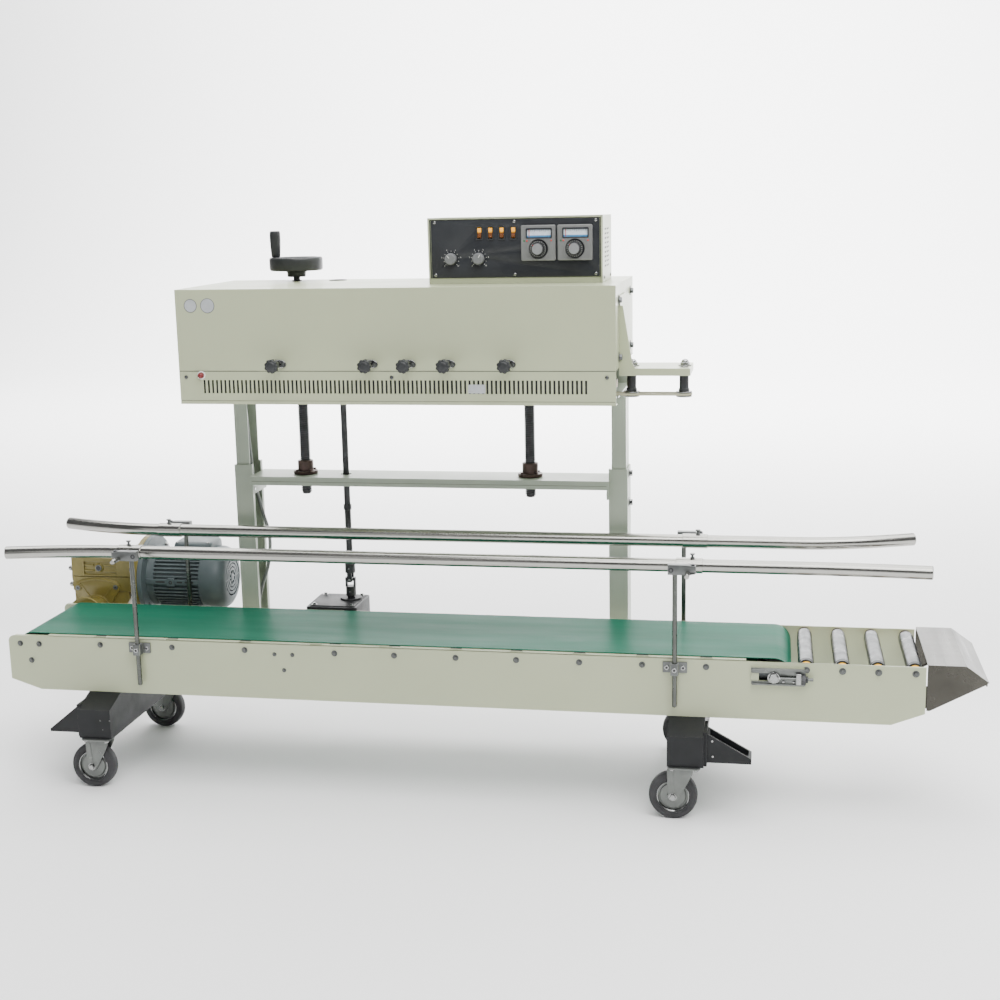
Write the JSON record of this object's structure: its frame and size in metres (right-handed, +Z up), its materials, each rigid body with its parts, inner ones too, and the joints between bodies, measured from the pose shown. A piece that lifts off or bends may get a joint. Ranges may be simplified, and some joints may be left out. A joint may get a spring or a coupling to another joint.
{
  "type": "continuous band sealer",
  "caption": "Floor-standing band sealer for upright bags: belt conveyor on casters, guide rails, and a sealing head on telescopic columns with a lift handwheel.",
  "frame": {"origin": "middle of the machine's footprint, on the floor", "axes": "+X along the conveyor towards the infeed chute, +Y away from the operator towards the columns, +Z up"},
  "size_m": [2.102, 0.534, 1.2216],
  "materials": {
    "cream_paint": "satin",
    "green_belt": "glossy",
    "polished_steel": "polished",
    "chute_steel": "brushed",
    "zinc_plate": "zinc plated",
    "bright_steel": "machined",
    "black_coat": "powder coated",
    "black_oxide": "oiled",
    "black_plastic": "moulded",
    "tyre_rubber": "moulded",
    "gold_enamel": "enamelled",
    "blue_grey_enamel": "enamelled",
    "bronze": "dark",
    "amber_lens": "glossy",
    "silver_plastic": "satin",
    "conduit_sleeve": "corrugated"
  },
  "bodies": {
    "frame": {"front_side_plate": "cream_paint", "rear_side_plate": "cream_paint", "slider_bed": "cream_paint", "conveyor_belt": "green_belt", "infeed_chute": "chute_steel", "left_foot_beam": "black_coat", "right_foot_beam": "black_coat", "stand_frame": "cream_paint", "lift_nut_left": "bronze", "lift_nut_right": "bronze", "bevel_gearbox": "black_coat", "worm_gearbox": "gold_enamel", "motor_housing": "blue_grey_enamel", "wiring_conduit": "conduit_sleeve"},
    "drive_roller": {"drive_roller": "black_oxide"},
    "tail_axle": {"tail_axle": "bright_steel"},
    "tail_roller": {"tail_roller": "bright_steel"},
    "drive_shaft": {"drive_shaft": "black_oxide"},
    "front_posts": {"rail_post_front_left": "polished_steel", "rail_post_front_right": "polished_steel"},
    "front_rail": {"guide_rail_front": "polished_steel"},
    "rear_posts": {"rail_post_rear_left": "polished_steel", "rail_post_rear_right": "polished_steel"},
    "rear_rail": {"guide_rail_rear": "polished_steel"},
    "head": {"head_frame": "cream_paint", "head_cover": "cream_paint", "vent_panel": "cream_paint", "control_box": "cream_paint", "infeed_arm": "cream_paint"},
    "handwheel": {"handwheel": "black_plastic", "lift_screw_left": "black_oxide"},
    "crank_grip": {"crank_grip": "black_plastic"},
    "lift_screw_right": {"lift_screw_right": "black_oxide"},
    "infeed_pulley_inner": {"infeed_pulley_inner": "black_plastic"},
    "infeed_pulley_outer": {"infeed_pulley_outer": "black_plastic"},
    "gravity_roller_1": {"gravity_roller_1": "zinc_plate"},
    "gravity_roller_2": {"gravity_roller_2": "zinc_plate"},
    "gravity_roller_3": {"gravity_roller_3": "zinc_plate"},
    "gravity_roller_4": {"gravity_roller_4": "zinc_plate"},
    "caster_fork_front_left": {"caster_fork_front_left": "zinc_plate"},
    "caster_wheel_front_left": {"caster_wheel_front_left": "tyre_rubber"},
    "caster_fork_rear_left": {"caster_fork_rear_left": "zinc_plate"},
    "caster_wheel_rear_left": {"caster_wheel_rear_left": "tyre_rubber"},
    "caster_fork_front_right": {"caster_fork_front_right": "zinc_plate"},
    "caster_wheel_front_right": {"caster_wheel_front_right": "tyre_rubber"},
    "caster_fork_rear_right": {"caster_fork_rear_right": "zinc_plate"},
    "caster_wheel_rear_right": {"caster_wheel_rear_right": "tyre_rubber"},
    "pressure_knob_1": {"pressure_knob_1": "black_plastic"},
    "pressure_knob_2": {"pressure_knob_2": "black_plastic"},
    "pressure_knob_3": {"pressure_knob_3": "black_plastic"},
    "pressure_knob_4": {"pressure_knob_4": "black_plastic"},
    "pressure_knob_5": {"pressure_knob_5": "black_plastic"},
    "rocker_switch_1": {"rocker_switch_1": "amber_lens"},
    "rocker_switch_2": {"rocker_switch_2": "amber_lens"},
    "rocker_switch_3": {"rocker_switch_3": "amber_lens"},
    "rocker_switch_4": {"rocker_switch_4": "amber_lens"},
    "speed_knob_1": {"speed_knob_1": "silver_plastic"},
    "speed_knob_2": {"speed_knob_2": "silver_plastic"},
    "thermostat_dial_1": {"thermostat_dial_1": "black_plastic"},
    "thermostat_dial_2": {"thermostat_dial_2": "black_plastic"}
  },
  "joints": [
    {"name": "head_lift", "type": "slide", "parent": "frame", "child": "head", "axis": [0, 0, 1], "range_m": [-0.12, 0.02], "deforming": ["wiring_conduit"]},
    {"name": "handwheel_spin", "type": "hinge", "parent": "head", "child": "handwheel", "pos_m": [-0.445, 0.141, 1.11], "axis": [0, 0, 1], "range_deg": [-8642, 1442]},
    {"name": "screw_right_spin", "type": "hinge", "parent": "head", "child": "lift_screw_right", "pos_m": [0.085, 0.141, 0.85], "axis": [0, 0, 1], "range_deg": [-8642, 1442]},
    {"name": "crank_grip_spin", "type": "hinge", "parent": "handwheel", "child": "crank_grip", "pos_m": [-0.492, 0.141, 1.16], "axis": [0, 0, 1], "continuous": true},
    {"name": "drive_roller_spin", "type": "hinge", "parent": "frame", "child": "drive_roller", "pos_m": [-0.987, -0.07, 0.301], "axis": [0, 1, 0], "continuous": true},
    {"name": "take_up_slide", "type": "slide", "parent": "frame", "child": "tail_axle", "axis": [1, 0, 0], "range_m": [-0.018, 0]},
    {"name": "tail_roller_spin", "type": "hinge", "parent": "tail_axle", "child": "tail_roller", "pos_m": [0.6335, -0.07, 0.301], "axis": [0, 1, 0], "continuous": true},
    {"name": "drive_shaft_spin", "type": "hinge", "parent": "frame", "child": "drive_shaft", "pos_m": [-0.348, 0.141, 0.6], "axis": [0, 0, 1], "continuous": true},
    {"name": "infeed_pulley_inner_spin", "type": "hinge", "parent": "head", "child": "infeed_pulley_inner", "pos_m": [0.337, -0.087, 0.86], "axis": [0, 0, 1], "continuous": true},
    {"name": "infeed_pulley_outer_spin", "type": "hinge", "parent": "head", "child": "infeed_pulley_outer", "pos_m": [0.444, -0.087, 0.86], "axis": [0, 0, 1], "continuous": true},
    {"name": "gravity_roller_1_spin", "type": "hinge", "parent": "frame", "child": "gravity_roller_1", "pos_m": [0.698, -0.07, 0.318], "axis": [0, 1, 0], "continuous": true},
    {"name": "gravity_roller_2_spin", "type": "hinge", "parent": "frame", "child": "gravity_roller_2", "pos_m": [0.769, -0.07, 0.318], "axis": [0, 1, 0], "continuous": true},
    {"name": "gravity_roller_3_spin", "type": "hinge", "parent": "frame", "child": "gravity_roller_3", "pos_m": [0.839, -0.07, 0.318], "axis": [0, 1, 0], "continuous": true},
    {"name": "gravity_roller_4_spin", "type": "hinge", "parent": "frame", "child": "gravity_roller_4", "pos_m": [0.911, -0.07, 0.318], "axis": [0, 1, 0], "continuous": true},
    {"name": "caster_front_left_swivel", "type": "hinge", "parent": "frame", "child": "caster_fork_front_left", "pos_m": [-0.817, -0.231, 0.115], "axis": [0, 0, 1], "continuous": true},
    {"name": "caster_front_left_roll", "type": "hinge", "parent": "caster_fork_front_left", "child": "caster_wheel_front_left", "pos_m": [-0.841, -0.231, 0.05], "axis": [0, 1, 0], "continuous": true},
    {"name": "caster_rear_left_swivel", "type": "hinge", "parent": "frame", "child": "caster_fork_rear_left", "pos_m": [-0.817, 0.1545, 0.115], "axis": [0, 0, 1], "continuous": true},
    {"name": "caster_rear_left_roll", "type": "hinge", "parent": "caster_fork_rear_left", "child": "caster_wheel_rear_left", "pos_m": [-0.841, 0.1545, 0.05], "axis": [0, 1, 0], "continuous": true},
    {"name": "caster_front_right_swivel", "type": "hinge", "parent": "frame", "child": "caster_fork_front_right", "pos_m": [0.458, -0.231, 0.115], "axis": [0, 0, 1], "continuous": true},
    {"name": "caster_front_right_roll", "type": "hinge", "parent": "caster_fork_front_right", "child": "caster_wheel_front_right", "pos_m": [0.434, -0.231, 0.05], "axis": [0, 1, 0], "continuous": true},
    {"name": "caster_rear_right_swivel", "type": "hinge", "parent": "frame", "child": "caster_fork_rear_right", "pos_m": [0.458, 0.1545, 0.115], "axis": [0, 0, 1], "continuous": true},
    {"name": "caster_rear_right_roll", "type": "hinge", "parent": "caster_fork_rear_right", "child": "caster_wheel_rear_right", "pos_m": [0.434, 0.1545, 0.05], "axis": [0, 1, 0], "continuous": true},
    {"name": "front_rail_height", "type": "slide", "parent": "frame", "child": "front_posts", "axis": [0, 0, 1], "range_m": [-0.02, 0.07]},
    {"name": "front_rail_reach", "type": "slide", "parent": "front_posts", "child": "front_rail", "axis": [0, 1, 0], "range_m": [-0.03, 0.01]},
    {"name": "rear_rail_height", "type": "slide", "parent": "frame", "child": "rear_posts", "axis": [0, 0, 1], "range_m": [-0.02, 0.07]},
    {"name": "rear_rail_reach", "type": "slide", "parent": "rear_posts", "child": "rear_rail", "axis": [0, 1, 0], "range_m": [-0.03, 0]},
    {"name": "pressure_knob_1_turn", "type": "hinge", "parent": "head", "child": "pressure_knob_1", "pos_m": [-0.39, -0.185, 0.931], "axis": [0, 1, 0], "range_deg": [-720, 720]},
    {"name": "pressure_knob_2_turn", "type": "hinge", "parent": "head", "child": "pressure_knob_2", "pos_m": [-0.1932, -0.185, 0.931], "axis": [0, 1, 0], "range_deg": [-720, 720]},
    {"name": "pressure_knob_3_turn", "type": "hinge", "parent": "head", "child": "pressure_knob_3", "pos_m": [-0.1126, -0.185, 0.931], "axis": [0, 1, 0], "range_deg": [-720, 720]},
    {"name": "pressure_knob_4_turn", "type": "hinge", "parent": "head", "child": "pressure_knob_4", "pos_m": [-0.03, -0.185, 0.931], "axis": [0, 1, 0], "range_deg": [-720, 720]},
    {"name": "pressure_knob_5_turn", "type": "hinge", "parent": "head", "child": "pressure_knob_5", "pos_m": [0.0945, -0.185, 0.931], "axis": [0, 1, 0], "range_deg": [-720, 720]},
    {"name": "rocker_switch_1_tilt", "type": "hinge", "parent": "head", "child": "rocker_switch_1", "pos_m": [0.0202, -0.0595, 1.19], "axis": [1, 0, 0], "range_deg": [0, 14]},
    {"name": "rocker_switch_2_tilt", "type": "hinge", "parent": "head", "child": "rocker_switch_2", "pos_m": [0.0433, -0.0595, 1.19], "axis": [1, 0, 0], "range_deg": [0, 14]},
    {"name": "rocker_switch_3_tilt", "type": "hinge", "parent": "head", "child": "rocker_switch_3", "pos_m": [0.0671, -0.0595, 1.19], "axis": [1, 0, 0], "range_deg": [0, 14]},
    {"name": "rocker_switch_4_tilt", "type": "hinge", "parent": "head", "child": "rocker_switch_4", "pos_m": [0.0914, -0.0595, 1.19], "axis": [1, 0, 0], "range_deg": [0, 14]},
    {"name": "speed_knob_1_turn", "type": "hinge", "parent": "head", "child": "speed_knob_1", "pos_m": [-0.0406, -0.0605, 1.1376], "axis": [0, 1, 0], "range_deg": [-150, 150]},
    {"name": "speed_knob_2_turn", "type": "hinge", "parent": "head", "child": "speed_knob_2", "pos_m": [0.0181, -0.0605, 1.1376], "axis": [0, 1, 0], "range_deg": [-150, 150]},
    {"name": "thermostat_dial_1_turn", "type": "hinge", "parent": "head", "child": "thermostat_dial_1", "pos_m": [0.1442, -0.0605, 1.156], "axis": [0, 1, 0], "range_deg": [-150, 150]},
    {"name": "thermostat_dial_2_turn", "type": "hinge", "parent": "head", "child": "thermostat_dial_2", "pos_m": [0.2199, -0.0605, 1.156], "axis": [0, 1, 0], "range_deg": [-150, 150]}
  ],
  "couplings": [
    {"joint": "handwheel_spin", "follows": "head_lift", "rad_per_m": 1256.6},
    {"joint": "screw_right_spin", "follows": "head_lift", "rad_per_m": 1256.6},
    {"joint": "tail_roller_spin", "follows": "drive_roller_spin", "ratio": 1},
    {"joint": "drive_shaft_spin", "follows": "drive_roller_spin", "ratio": 1},
    {"joint": "infeed_pulley_inner_spin", "follows": "drive_roller_spin", "ratio": -2.08},
    {"joint": "infeed_pulley_outer_spin", "follows": "drive_roller_spin", "ratio": -2.08}
  ]
}
